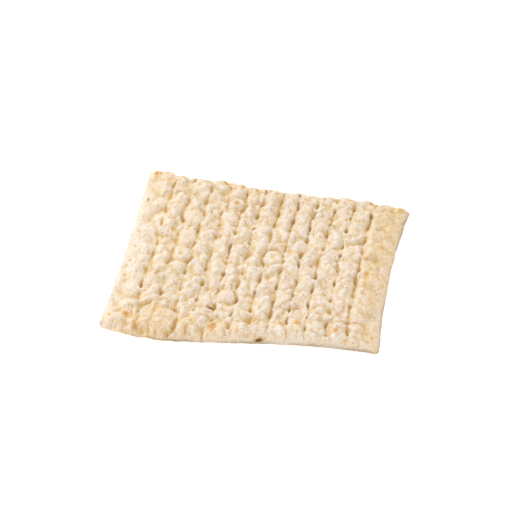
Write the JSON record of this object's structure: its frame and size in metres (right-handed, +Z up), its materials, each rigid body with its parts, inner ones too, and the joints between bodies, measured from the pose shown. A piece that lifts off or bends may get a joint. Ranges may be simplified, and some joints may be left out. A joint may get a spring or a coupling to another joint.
{
  "type": "flatbread",
  "caption": "Thin, nearly rectangular baked flatbread with lumpy puffed ridges between staggered columns of docking pits.",
  "frame": {"origin": "under the middle of the bread, on the surface it lies on", "axes": "+X along the long side, +Y from the front edge to the back edge, +Z up out of the docked face"},
  "size_m": [0.129, 0.1104, 0.0084],
  "materials": {
    "crust": "matt, floury baked dough, cream with pale brown toasted spots and fine bran specks"
  },
  "bodies": {
    "root": {"flatbread": "crust"}
  },
  "joints": []
}
